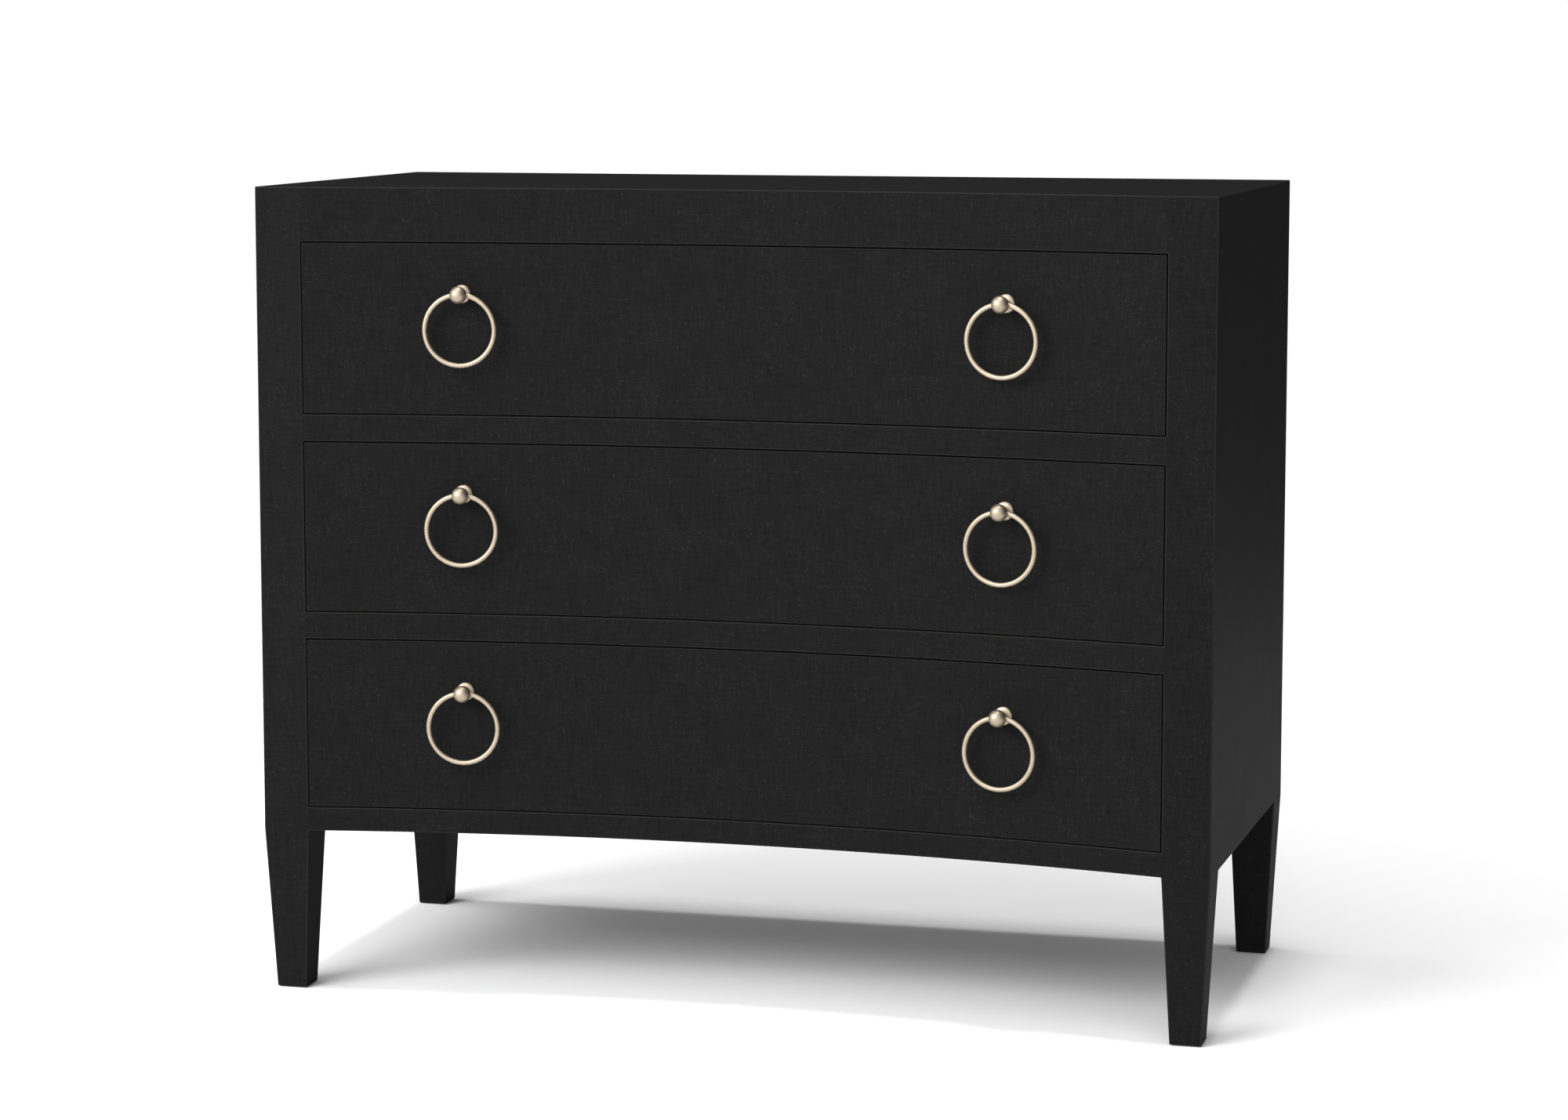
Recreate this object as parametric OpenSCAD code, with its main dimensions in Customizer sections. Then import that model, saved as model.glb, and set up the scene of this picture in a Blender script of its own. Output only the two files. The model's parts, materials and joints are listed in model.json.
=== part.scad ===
// Three-drawer chest with a bowed-in front, tapered legs and ring pulls.
// X runs to the right, the front faces -Y and Z is up. The origin is on the floor,
// under the middle of the case.

/* [Case] */
// Width of the case
case_w = 965; // [800:1:1160]
// Depth of the case, from the flat stiles to the back
case_d = 457; // [380:1:560]
// Height from the floor to the top surface
total_h = 813; // [740:1:980]
// Height of the underside of the case above the floor
leg_h = 165; // [130:1:200]
// Side of the square corner posts
post_w = 47.5; // [39:0.5:58]
// Side of the square foot at the bottom of each tapered leg
foot_w = 31; // [26:0.5:38]
// How far the middle of the front is bowed in behind the stiles
front_sag = 45; // [20:1:60]

/* [Boards] */
// Thickness of the top
top_t = 27; // [20:1:34]
// Thickness of the side panels
side_t = 18; // [15:1:22]
// Thickness of the back panel
back_t = 9; // [6:0.5:12]
// Thickness of the base panel
base_t = 12; // [9:1:15]
// Height of the rail under the top
top_rail_h = 27; // [22:1:34]
// Height of the rails between the drawers
rail_h = 27; // [22:1:34]
// Height of the rail under the lower drawer
bottom_rail_h = 24; // [20:1:30]
// Depth of the rails behind the deepest point of the curve
rail_d = 50; // [40:1:60]
// Height of the strips that carry the slides
packer_h = 55; // [50:1:70]

/* [Drawers] */
// Gap between a drawer front and its opening
reveal = 1.5; // [1:0.1:3]
// Thickness of the curved drawer fronts
front_t = 20; // [17:1:24]
// Thickness of the drawer sides and backs
box_t = 14; // [12:0.5:17]
// Thickness of the drawer base panels
box_base_t = 6; // [4:0.5:8]
// Height of the drawer sides
box_h = 125; // [104:1:132]
// Height of the drawer sides above the bottom of the opening
box_lift = 12; // [10:1:14]
// Height of the base groove above the lower edge of a drawer side
groove_up = 10; // [8:1:14]

/* [Slides] */
// Width of the space that a slide takes up beside the drawer
slide_gap = 12.7; // [12.5:0.1:14]
// Height of a slide
slide_h = 45; // [42:1:48]
// Thickness of the rolled steel
steel_t = 1.2; // [1:0.1:1.5]
// Diameter of the bearing balls
ball_d = 3; // [2.5:0.1:3.2]
// Step in which slide lengths are sold
slide_step = 50; // [25:25:50]

/* [Ring pulls] */
// Diameter of the ring, measured at the middle of its wire
ring_d = 70; // [58:1:84]
// Diameter of the ring's wire
wire_d = 5; // [4:0.1:5.5]
// Diameter of the ball that holds the ring
knob_d = 17; // [16:0.1:20.5]
// Distance from the drawer's face to the middle of the ball
knob_out = 18; // [17:0.5:20]
// How far the ring's axis lies behind the middle of the ball
bore_back = 4; // [3.5:0.1:4.5]
// Diameter of the neck behind the ball
neck_d = 9; // [8:0.1:10]
// Diameter of the rosette against the face
rosette_d = 18.5; // [17:0.1:22.5]
// Height of the rosette
rosette_t = 4; // [3:0.1:4.5]
// Distance from the side of the opening to the middle of a pull
pull_inset = 160; // [130:1:195]

/* [Fits] */
// Clearance on each face of a wood joint
joint_gap = 0.1; // [0.05:0.05:0.3]
// Radial clearance of a pin, dowel or screw in its hole
pin_gap = 0.05; // [0.05:0.01:0.1]
// Least play of the ring's wire in the bore of the ball
ring_play = 0.3; // [0.3:0.05:0.5]
// Clearance of each bearing ball in its race
race_play = 0.2; // [0.1:0.05:0.3]

/* [Hidden] */
DRAWERS = ["upper", "middle", "lower"];
SIDES = ["left", "right"];
CASE_NODES = ["top_panel", "side_panel_left", "side_panel_right", "back_panel", "base_panel",
    "front_post_left", "front_post_right", "back_post_left", "back_post_right",
    "top_rail", "upper_divider_rail", "lower_divider_rail", "bottom_rail",
    "top_dowels", "back_screws", "slide_packers", "leg_glides"];
SLIDE_NODES = ["case_members", "middle_members", "drawer_members"];
BOX_NODES = ["front", "side_left", "side_right", "back", "base", "pull_screws", "pull_rosettes",
    "pull_post_left", "pull_post_right", "pull_ring_left", "pull_ring_right"];

// Colours
linen_black = [0.13, 0.13, 0.13];
birch = [0.80, 0.68, 0.50];
steel = [0.70, 0.71, 0.73];
champagne = [0.80, 0.72, 0.58];
nylon = [0.22, 0.21, 0.20];

// Smoothness of the long front curve and of small round parts
arc_fn = 720;
round_fn = 64;
ring_fn = 96;
cut = 1; // how far a cutting shape runs past the face that it opens

// Case: the front is a circular arc between the stiles, centred far in front of the chest
face_y = -case_d / 2;
open_half = case_w / 2 - post_w;
front_r = (open_half * open_half + front_sag * front_sag) / (2 * front_sag);
arc_y = face_y + front_sag - front_r;
post_top = total_h - top_t;
post_x = case_w / 2 - post_w / 2;
post_y = case_d / 2 - post_w / 2;
rail_back = face_y + front_sag + rail_d;
back_in = case_d / 2 - back_t;
side_in = case_w / 2 - side_t;

// Drawer openings, counted from the top
open_h = (post_top - top_rail_h - 2 * rail_h - bottom_rail_h - leg_h) / len(DRAWERS);
function open_z(i) = post_top - top_rail_h - (i + 1) * open_h - i * rail_h;

// Joinery
tongue_t = 8;
tongue_d = 8;
tongue_stop = 12;
rebate_w = 12;
dowel_d = 8;
dowel_in = 14;
tenon_t = 10;
tenon_shoulder = 12;
tenon_wall = 4;
tenon_l = post_w / 2 - dowel_d / 2 - tenon_wall;
screw_d = 3.6;
screw_l = 28;
screw_head_d = 8;
screw_head_t = 2.4;
screw_rows = 5;
screw_end = 60;

// Leg glides: round pads let into the feet, standing a little proud of them
glide_d = 22;
glide_h = 3;
glide_proud = 0.8;
glide_pin_d = 4;
glide_pin_l = 14;

// Drawer boxes
box_out = open_half - slide_gap;
box_in = box_out - box_t;
dado_d = 8;
base_groove = 6;
back_rebate = 7;
back_drop = 6;
function box_z(i) = open_z(i) + box_lift;

// Slides: as long as the depth allows, in steps, starting just behind the drawer front
slide_setback = 2;
slide_end_gap = 5;
slide_y = arc_y + sqrt(pow(front_r + front_t, 2) - pow(box_out, 2)) + slide_setback;
slide_l = slide_step * floor((back_in - slide_end_gap - slide_y) / slide_step);
box_end = slide_y + slide_l;
function slide_z(i) = box_z(i) + box_h / 2;
race = ball_d + 2 * race_play;
middle_h = slide_h - 2 * steel_t - 2 * race;
inner_h = middle_h - 2 * steel_t - 2 * race;
member_play = 0.8;
case_flange = slide_gap - steel_t - member_play;

// Ring pulls, in a local frame: the drawer's face at y = 0, outwards along -y
pull_x = open_half - pull_inset;
pull_turn = asin(pull_x / front_r);
pull_face_y = arc_y + sqrt(front_r * front_r - pull_x * pull_x);
bore_half = sqrt(pow(knob_d / 2, 2) - pow(bore_back, 2));
bore_d = wire_d + 2 * bore_half * bore_half / ring_d + 2 * ring_play;
axis_out = knob_out - bore_back;
seat_d = 0.3;
pull_screw_d = 4;
pull_screw_head_d = 9;
pull_screw_head_t = 3;
pull_thread = axis_out - bore_d / 2 - 3;
rosette_edge = 1.4;
function pull_z(i) = open_z(i) + open_h / 2 + ring_d / 2;

// ---------- helpers ----------

// A box given by its lowest and highest corners
module box(low, high) {
    translate(low) cube(high - low);
}

// The same shape on the right (1) and mirrored on the left (-1)
module on_side(s) {
    mirror([s < 0 ? 1 : 0, 0, 0]) children();
}

module both_sides() {
    for (s = [-1, 1]) on_side(s) children();
}

// Plan of a board with the concave front edge and a straight back edge
module curved_front_plan(half_w, back_y) {
    difference() {
        translate([-half_w, face_y]) square([2 * half_w, back_y - face_y]);
        translate([0, arc_y]) circle(r = front_r, $fn = arc_fn);
    }
}

// Plan of everything further than depth t behind the concave front, from the face back to back_y
module behind_front_plan(half_w, t, back_y) {
    difference() {
        translate([-half_w, face_y - cut]) square([2 * half_w, back_y - face_y + cut]);
        translate([0, arc_y]) circle(r = front_r + t, $fn = arc_fn);
    }
}

// Plan of a bent board of thickness t that follows the concave front
module bent_board_plan(half_w, t) {
    intersection() {
        translate([-half_w, face_y - cut]) square([2 * half_w, front_sag + t + 2 * cut]);
        translate([0, arc_y]) difference() {
            circle(r = front_r + t, $fn = arc_fn);
            circle(r = front_r, $fn = arc_fn);
        }
    }
}

// ---------- case ----------

module top_panel() {
    color(linen_black) difference() {
        translate([0, 0, post_top]) linear_extrude(top_t) curved_front_plan(case_w / 2, case_d / 2);
        for (x = [-post_x, post_x], y = [-post_y, post_y]) translate([x, y, post_top - cut])
            cylinder(d = dowel_d + 2 * pin_gap, h = dowel_in + joint_gap + cut, $fn = round_fn);
    }
}

// Outline of a post and its tapered leg, seen square on to a face
module post_outline() {
    polygon([
        [-foot_w / 2, glide_proud], [foot_w / 2, glide_proud], [post_w / 2, leg_h],
        [post_w / 2, post_top], [-post_w / 2, post_top], [-post_w / 2, leg_h]
    ]);
}

// Right-hand post and leg; end is -1 at the front and 1 at the back
module post_body(end) {
    translate([post_x, end * post_y, 0]) intersection() {
        rotate([90, 0, 0]) linear_extrude(post_w, center = true) post_outline();
        rotate([90, 0, 90]) linear_extrude(post_w, center = true) post_outline();
    }
}

// What every post has: a dowel hole, a groove for the side panel and a recess for the glide and its pin
module post_cuts(end) {
    translate([post_x, end * post_y, post_top - dowel_in - joint_gap])
        cylinder(d = dowel_d + 2 * pin_gap, h = dowel_in + joint_gap + cut, $fn = round_fn);
    translate([post_x, end * post_y, 0]) {
        cylinder(d = glide_d + 2 * joint_gap, h = glide_h + joint_gap, $fn = round_fn);
        cylinder(d = glide_pin_d + 2 * pin_gap, h = glide_h + glide_pin_l + joint_gap, $fn = round_fn);
    }
    side_tongue(end, joint_gap);
}

// Tongue of the right-hand side panel, grown on every face by grow to make its groove
module side_tongue(end, grow) {
    mid_x = case_w / 2 - side_t / 2;
    near = case_d / 2 - post_w - (grow > 0 ? cut : 0);
    far = case_d / 2 - post_w + tongue_d + grow;
    box([mid_x - tongue_t / 2 - grow, end > 0 ? near : -far, leg_h + tongue_stop - grow],
        [mid_x + tongue_t / 2 + grow, end > 0 ? far : -near, post_top + (grow > 0 ? cut : 0)]);
}

module front_post(s) {
    color(linen_black) on_side(s) difference() {
        post_body(-1);
        post_cuts(-1);
        for (r = RAILS) rail_tenon(r, joint_gap);
    }
}

module back_post(s) {
    color(linen_black) on_side(s) difference() {
        post_body(1);
        post_cuts(1);
        box([open_half - cut, back_in, leg_h], [open_half + rebate_w, case_d / 2 + cut, post_top + cut]);
        back_screw_holes();
    }
}

module side_panel(s) {
    color(linen_black) on_side(s) {
        box([side_in, -case_d / 2 + post_w, leg_h], [case_w / 2, case_d / 2 - post_w, post_top]);
        side_tongue(-1, 0);
        side_tongue(1, 0);
    }
}

// Lower face and height of each rail, from the top down
RAILS = [
    [post_top - top_rail_h, top_rail_h],
    [open_z(0) - rail_h, rail_h],
    [open_z(1) - rail_h, rail_h],
    [leg_h, bottom_rail_h]
];

// Right-hand tenon of a rail, grown on every face by grow to make its mortise
module rail_tenon(r, grow) {
    z = r[0] + r[1] / 2;
    box([open_half - (grow > 0 ? cut : 0), face_y + tenon_shoulder - grow, z - tenon_t / 2 - grow],
        [open_half + tenon_l + grow, face_y + post_w - tenon_shoulder + grow, z + tenon_t / 2 + grow]);
}

module rail(r) {
    color(linen_black) {
        translate([0, 0, r[0]]) linear_extrude(r[1]) curved_front_plan(open_half, rail_back);
        both_sides() rail_tenon(r, 0);
    }
}

module back_panel() {
    half = open_half + rebate_w - joint_gap;
    color(linen_black) difference() {
        box([-half, back_in, leg_h], [half, case_d / 2, post_top]);
        both_sides() back_screw_holes();
    }
}

// Panel under the lower drawer, level with the top of the bottom rail and notched round rail and posts
module base_panel() {
    notch = open_half + joint_gap;
    under = leg_h + bottom_rail_h - base_t;
    color(linen_black) translate([0, 0, under]) linear_extrude(base_t) difference() {
        translate([-side_in, face_y + post_w]) square([2 * side_in, back_in - face_y - post_w]);
        translate([-notch, face_y]) square([2 * notch, rail_back - face_y]);
        for (x = [-case_w / 2, open_half - joint_gap])
            translate([x, case_d / 2 - post_w - joint_gap]) square(post_w + joint_gap);
    }
}

module top_dowels() {
    color(birch) for (x = [-post_x, post_x], y = [-post_y, post_y])
        translate([x, y, post_top - dowel_in]) cylinder(d = dowel_d, h = 2 * dowel_in, $fn = round_fn);
}

// Countersunk screw along +Y with its head flush at y = 0, grown by grow to make its hole
module flat_screw(grow) {
    shank = screw_d + 2 * grow;
    rotate([90, 0, 0]) {
        translate([0, 0, grow > 0 ? -cut : 0])
            cylinder(d = shank, h = screw_l + grow + (grow > 0 ? cut : 0), $fn = round_fn);
        cylinder(d1 = screw_head_d + 2 * grow, d2 = shank, h = screw_head_t + grow, $fn = round_fn);
    }
}

// Places of the screws along the right-hand edge of the back panel
module at_back_screws() {
    pitch = (post_top - leg_h - 2 * screw_end) / (screw_rows - 1);
    for (n = [0:screw_rows - 1])
        translate([open_half + rebate_w / 2, case_d / 2, leg_h + screw_end + n * pitch]) children();
}

module back_screw_holes() {
    at_back_screws() flat_screw(pin_gap);
}

module back_screws() {
    color(steel) both_sides() at_back_screws() flat_screw(0);
}

// Strips between the posts that bring the slides out flush with the openings
module slide_packers() {
    color(birch) both_sides() for (i = [0:2])
        box([open_half, -case_d / 2 + post_w, slide_z(i) - packer_h / 2],
            [side_in, case_d / 2 - post_w, slide_z(i) + packer_h / 2]);
}

module leg_glides() {
    color(nylon) for (x = [-post_x, post_x], y = [-post_y, post_y]) translate([x, y, 0]) {
        cylinder(d = glide_d, h = glide_h, $fn = round_fn);
        cylinder(d = glide_pin_d, h = glide_h + glide_pin_l, $fn = round_fn);
    }
}

// ---------- slides ----------

// Rolled channel of height h along the slide; its web is at distance web from the case and its flanges
// reach to distance tip, both measured from the side of the opening towards the drawer
module channel(i, h, web, tip) {
    low = min(web, tip);
    high = max(web, tip);
    inner_low = web < tip ? web + steel_t : low - cut;
    inner_high = web < tip ? high + cut : web - steel_t;
    bottom = slide_z(i) - h / 2;
    top = slide_z(i) + h / 2;
    difference() {
        box([open_half - high, slide_y, bottom], [open_half - low, box_end, top]);
        box([open_half - inner_high, slide_y - cut, bottom + steel_t],
            [open_half - inner_low, box_end + cut, top - steel_t]);
    }
}

// Screwed to the case; opens towards the drawer
module case_members(i) {
    color(steel) both_sides() channel(i, slide_h, 0, case_flange);
}

// Runs on balls inside the case member and opens towards the drawer
module middle_members(i) {
    color(steel) both_sides() channel(i, middle_h, steel_t + member_play, case_flange);
}

// Screwed to the drawer's side; runs on balls inside the middle member and opens towards the case
module drawer_members(i) {
    color(steel) both_sides() channel(i, inner_h, slide_gap, 2 * (steel_t + member_play));
}

// ---------- drawers ----------

// Plan of the drawer's right-hand side, with its front end cut to a curve at depth t behind the face
module box_side_plan(t, grow) {
    intersection() {
        behind_front_plan(case_w / 2, t, box_end);
        translate([box_in - grow, face_y - cut]) square([box_t + 2 * grow, case_d]);
    }
}

module drawer_front(i) {
    color(linen_black) difference() {
        translate([0, 0, open_z(i) + reveal]) linear_extrude(open_h - 2 * reveal)
            bent_board_plan(open_half - reveal, front_t);
        both_sides() translate([0, 0, box_z(i) - joint_gap])
            linear_extrude(box_h + 2 * joint_gap) box_side_plan(front_t - dado_d, joint_gap);
        translate([0, 0, box_z(i) + groove_up - joint_gap]) linear_extrude(box_base_t + 2 * joint_gap)
            behind_front_plan(box_in + base_groove, front_t - base_groove, box_end);
        for (s = [-1, 1]) at_pull(i, s) pull_front_cuts();
    }
}

module drawer_side(i, s) {
    color(birch) on_side(s) difference() {
        translate([0, 0, box_z(i)]) linear_extrude(box_h) box_side_plan(front_t - dado_d + joint_gap, 0);
        box([box_in - cut, face_y, box_z(i) + groove_up - joint_gap],
            [box_in + base_groove, box_end + cut, box_z(i) + groove_up + box_base_t + joint_gap]);
        box([box_in - cut, box_end - box_t - joint_gap, box_z(i) + groove_up],
            [box_in + back_rebate, box_end + cut, box_z(i) + box_h - back_drop + joint_gap]);
    }
}

module drawer_back(i) {
    half = box_in + back_rebate - joint_gap;
    color(birch) box([-half, box_end - box_t, box_z(i) + groove_up + box_base_t + joint_gap],
        [half, box_end, box_z(i) + box_h - back_drop]);
}

module drawer_base(i) {
    color(birch) translate([0, 0, box_z(i) + groove_up]) linear_extrude(box_base_t)
        behind_front_plan(box_in + base_groove - joint_gap, front_t - base_groove + joint_gap, box_end);
}

// ---------- ring pulls ----------

// Stands a pull on the curved face of drawer i, square to it, on the left (-1) or right (1)
module at_pull(i, s) {
    translate([s * pull_x, pull_face_y, pull_z(i)]) rotate([0, 0, -s * pull_turn]) children();
}

// A cylinder along the local y from y0 to y1
module bar(d, y0, y1) {
    translate([0, y1, 0]) rotate([90, 0, 0]) cylinder(d = d, h = y1 - y0, $fn = round_fn);
}

// Flat seat for the rosette and the hole for the screw
module pull_front_cuts() {
    bar(rosette_d + 2 * joint_gap, -cut, seat_d);
    bar(pull_screw_d + 2 * pin_gap, 0, front_t + cut);
}

// Neck and ball turned in one piece, cross-bored for the ring and tapped for the screw
module pull_post(i, s) {
    color(champagne) at_pull(i, s) difference() {
        union() {
            bar(neck_d, -knob_out, seat_d);
            translate([0, -knob_out, 0]) sphere(d = knob_d, $fn = round_fn);
        }
        translate([0, -axis_out, 0]) rotate([0, 90, 0])
            cylinder(d = bore_d, h = knob_d + 2 * cut, center = true, $fn = round_fn);
        bar(pull_screw_d + 2 * pin_gap, -pull_thread - joint_gap, seat_d + cut);
    }
}

// Domed washer under the neck; its profile is a short edge and then a quarter of an ellipse
module rosette() {
    inner = neck_d / 2 + pin_gap;
    outer = rosette_d / 2;
    rise = rosette_t - rosette_edge;
    dome = [for (a = [0:15:90]) [inner + (outer - inner) * cos(a), rosette_edge + rise * sin(a)]];
    rotate([90, 0, 0]) rotate_extrude($fn = round_fn)
        polygon(concat([[inner, 0], [outer, 0]], dome));
}

module pull_rosettes(i) {
    color(champagne) for (s = [-1, 1]) at_pull(i, s) translate([0, seat_d, 0]) rosette();
}

// The ring hangs in the bore, its top on the hinge axis
module pull_ring(i, s) {
    color(champagne) at_pull(i, s) translate([0, -axis_out, -ring_d / 2]) rotate([90, 0, 0])
        rotate_extrude($fn = ring_fn) translate([ring_d / 2, 0]) circle(d = wire_d, $fn = 32);
}

module pull_screws(i) {
    color(steel) for (s = [-1, 1]) at_pull(i, s) {
        bar(pull_screw_d, -pull_thread, front_t);
        bar(pull_screw_head_d, front_t, front_t + pull_screw_head_t);
    }
}

// ---------- nodes ----------

top_panel();
side_panel(-1);  // side_panel_left
side_panel(1);  // side_panel_right
back_panel();
base_panel();
front_post(-1);  // front_post_left
front_post(1);  // front_post_right
back_post(-1);  // back_post_left
back_post(1);  // back_post_right
rail(RAILS[0]);  // top_rail
rail(RAILS[1]);  // upper_divider_rail
rail(RAILS[2]);  // lower_divider_rail
rail(RAILS[3]);  // bottom_rail
top_dowels();
back_screws();
slide_packers();
leg_glides();
for (i = [0:2]) {
    slide = str(DRAWERS[i], "_slide_");
    case_members(i);
    middle_members(i);
    drawer_members(i);
    drawer = str(DRAWERS[i], "_drawer_");
    drawer_front(i);
    drawer_back(i);
    drawer_base(i);
    pull_screws(i);
    pull_rosettes(i);
    for (k = [0:1]) {
        drawer_side(i, 2 * k - 1);
        pull_post(i, 2 * k - 1);
        pull_ring(i, 2 * k - 1);
    }
}
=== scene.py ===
# %% [markdown]
# # A three-drawer chest with a bowed-in front
#
# The real chest is a case of boards wrapped in linen and lacquered black. Three inset drawers
# follow one long shallow curve, and each carries two champagne-brass ring pulls. This lesson
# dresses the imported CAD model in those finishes. The CAD gives every place and every size, so
# nothing is fitted by eye: a piece is made where the CAD says it is, takes the place of its plain
# CAD node, and rides on the same moving body.

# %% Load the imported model
import json
import math

import bmesh
import bpy
from mathutils import Matrix, Vector

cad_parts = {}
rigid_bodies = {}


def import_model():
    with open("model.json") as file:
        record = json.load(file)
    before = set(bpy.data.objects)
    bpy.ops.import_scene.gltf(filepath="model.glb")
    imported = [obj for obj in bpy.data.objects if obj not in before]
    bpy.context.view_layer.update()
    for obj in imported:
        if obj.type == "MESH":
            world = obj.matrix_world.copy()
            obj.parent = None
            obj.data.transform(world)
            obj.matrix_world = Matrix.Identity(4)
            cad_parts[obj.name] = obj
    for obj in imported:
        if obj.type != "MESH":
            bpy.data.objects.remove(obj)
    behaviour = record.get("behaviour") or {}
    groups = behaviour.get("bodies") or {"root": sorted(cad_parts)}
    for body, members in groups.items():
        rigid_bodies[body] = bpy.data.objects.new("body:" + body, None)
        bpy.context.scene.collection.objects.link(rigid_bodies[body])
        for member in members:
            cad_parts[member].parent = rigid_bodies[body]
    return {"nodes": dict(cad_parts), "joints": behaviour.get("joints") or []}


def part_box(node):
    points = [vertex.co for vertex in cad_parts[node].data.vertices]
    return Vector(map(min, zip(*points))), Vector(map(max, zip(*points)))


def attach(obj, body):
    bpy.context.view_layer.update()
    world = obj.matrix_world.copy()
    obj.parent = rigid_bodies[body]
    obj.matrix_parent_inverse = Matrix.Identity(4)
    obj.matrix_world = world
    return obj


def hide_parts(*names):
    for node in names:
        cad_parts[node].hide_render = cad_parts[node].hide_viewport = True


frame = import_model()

SCENE = bpy.context.scene
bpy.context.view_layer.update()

# %% [markdown]
# ## The sizes that everything shares
#
# The front is an arc between two flat stiles. A chord and its rise give the radius of an arc, so
# the width between the posts and the depth of the bow are enough to place every curved face.

# %% Read the shared sizes
post_low, post_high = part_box("front_post_right")
front_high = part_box("upper_drawer_front")[1]
rail_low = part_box("bottom_rail")[0]
top_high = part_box("top_panel")[1]

DRAWERS = ("upper", "middle", "lower")
SIDES = {"left": -1, "right": 1}
FRONT_T = 0.020                                   # thickness of a drawer front
HALF_W = top_high.x
OPEN_HALF = post_low.x                            # half the width between the posts
FACE_Y = post_low.y                               # plane of the flat stiles
BACK_Y = top_high.y
CASE_BOTTOM = rail_low.z
CASE_TOP = post_high.z                            # underside of the top
BOW_DEPTH = front_high.y - FRONT_T - FACE_Y
BOW_R = (OPEN_HALF ** 2 + BOW_DEPTH ** 2) / (2 * BOW_DEPTH)
BOW_Y = FACE_Y + BOW_DEPTH - BOW_R                # centre of the arc, far in front of the chest
RAILS = ("top_rail", "upper_divider_rail", "lower_divider_rail", "bottom_rail")
openings = [(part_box(below)[1].z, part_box(above)[0].z) for above, below in zip(RAILS, RAILS[1:])]
print(f"bow {BOW_DEPTH * 1000:.1f} mm deep, radius {BOW_R:.3f} m")
print("drawer openings start at", [round(low, 3) for low, high in openings])


def bow(x):
    """The y of the front curve at x."""
    return BOW_Y + math.sqrt(BOW_R ** 2 - x * x)


# %% [markdown]
# ## The camera
#
# A long lens from the right and a little above, as furniture is usually shown. It is placed before
# anything is made, so that every later look is from the same point.

# %% Stand the camera
camera_data = bpy.data.cameras.new("camera")
camera_data.lens = 92.14
camera_data.sensor_width = 36.0
camera_data.shift_y = -0.02
camera = bpy.data.objects.new("camera", camera_data)
camera.location = (1.0825, -3.9434, 0.9594)
camera.rotation_euler = (math.radians(90 - 6.973), 0.0, math.radians(15.35))
SCENE.collection.objects.link(camera)
SCENE.camera = camera
print("camera", [round(c, 3) for c in camera.location], "lens", camera_data.lens)

# %% [markdown]
# ## Node graphs written as expressions
#
# A finish in Blender is a graph of nodes. Placing them one by one hides the idea, so two small
# classes do it. A Value is a socket that can be added and multiplied in an ordinary Python line,
# and each operation adds its Math node. A Graph makes every other node with one method. Materials
# and Geometry Nodes both use them.

# %% A socket that does arithmetic
class Value:
    """An output of a node. Arithmetic on it adds Math nodes to its graph."""

    def __init__(self, graph, socket):
        self.graph = graph
        self.socket = socket

    def math(self, operation, *terms):
        return self.graph.node("ShaderNodeMath", {"operation": operation}, dict(enumerate(terms)))

    def __add__(self, other):
        return self.math("ADD", self, other)

    def __radd__(self, other):
        return self.math("ADD", other, self)

    def __sub__(self, other):
        return self.math("SUBTRACT", self, other)

    def __rsub__(self, other):
        return self.math("SUBTRACT", other, self)

    def __mul__(self, other):
        return self.math("MULTIPLY", self, other)

    def __rmul__(self, other):
        return self.math("MULTIPLY", other, self)

    def __truediv__(self, other):
        return self.math("DIVIDE", self, other)

    def __rtruediv__(self, other):
        return self.math("DIVIDE", other, self)

    def __pow__(self, other):
        return self.math("POWER", self, other)

    def __gt__(self, other):
        return self.math("GREATER_THAN", self, other)

    def floor(self):
        return self.math("FLOOR", self)

    def fract(self):
        return self.math("FRACT", self)

    def size(self):
        return self.math("ABSOLUTE", self)

    def root(self):
        return self.math("SQRT", self)

    def sine(self):
        return self.math("SINE", self)

    def step(self, low, high):
        """0 below low, 1 above high and a smooth rise between."""
        return self.graph.node("ShaderNodeMapRange", {"interpolation_type": "SMOOTHSTEP"},
                               {0: self, 1: low, 2: high})


# %% A graph that makes any node
class Graph:
    """A node tree being written. node() adds a node and returns one of its outputs, or several."""

    def __init__(self, tree):
        self.tree = tree

    def node(self, kind, settings=None, values=None, out=0):
        made = self.tree.nodes.new(kind)
        for key, setting in (settings or {}).items():
            setattr(made, key, setting)
        for key, value in (values or {}).items():
            socket = made.inputs[key]
            if isinstance(value, Value):
                self.tree.links.new(value.socket, socket)
            else:
                socket.default_value = value
        if isinstance(out, tuple):
            return [Value(self, made.outputs[key]) for key in out]
        return Value(self, made.outputs[out]) if len(made.outputs) else made

    def split(self, vector):
        """x, y and z of a vector."""
        return self.node("ShaderNodeSeparateXYZ", None, {0: vector}, out=("X", "Y", "Z"))

    def point(self, x, y, z=0.0):
        return self.node("ShaderNodeCombineXYZ", None, {0: x, 1: y, 2: z})


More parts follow.
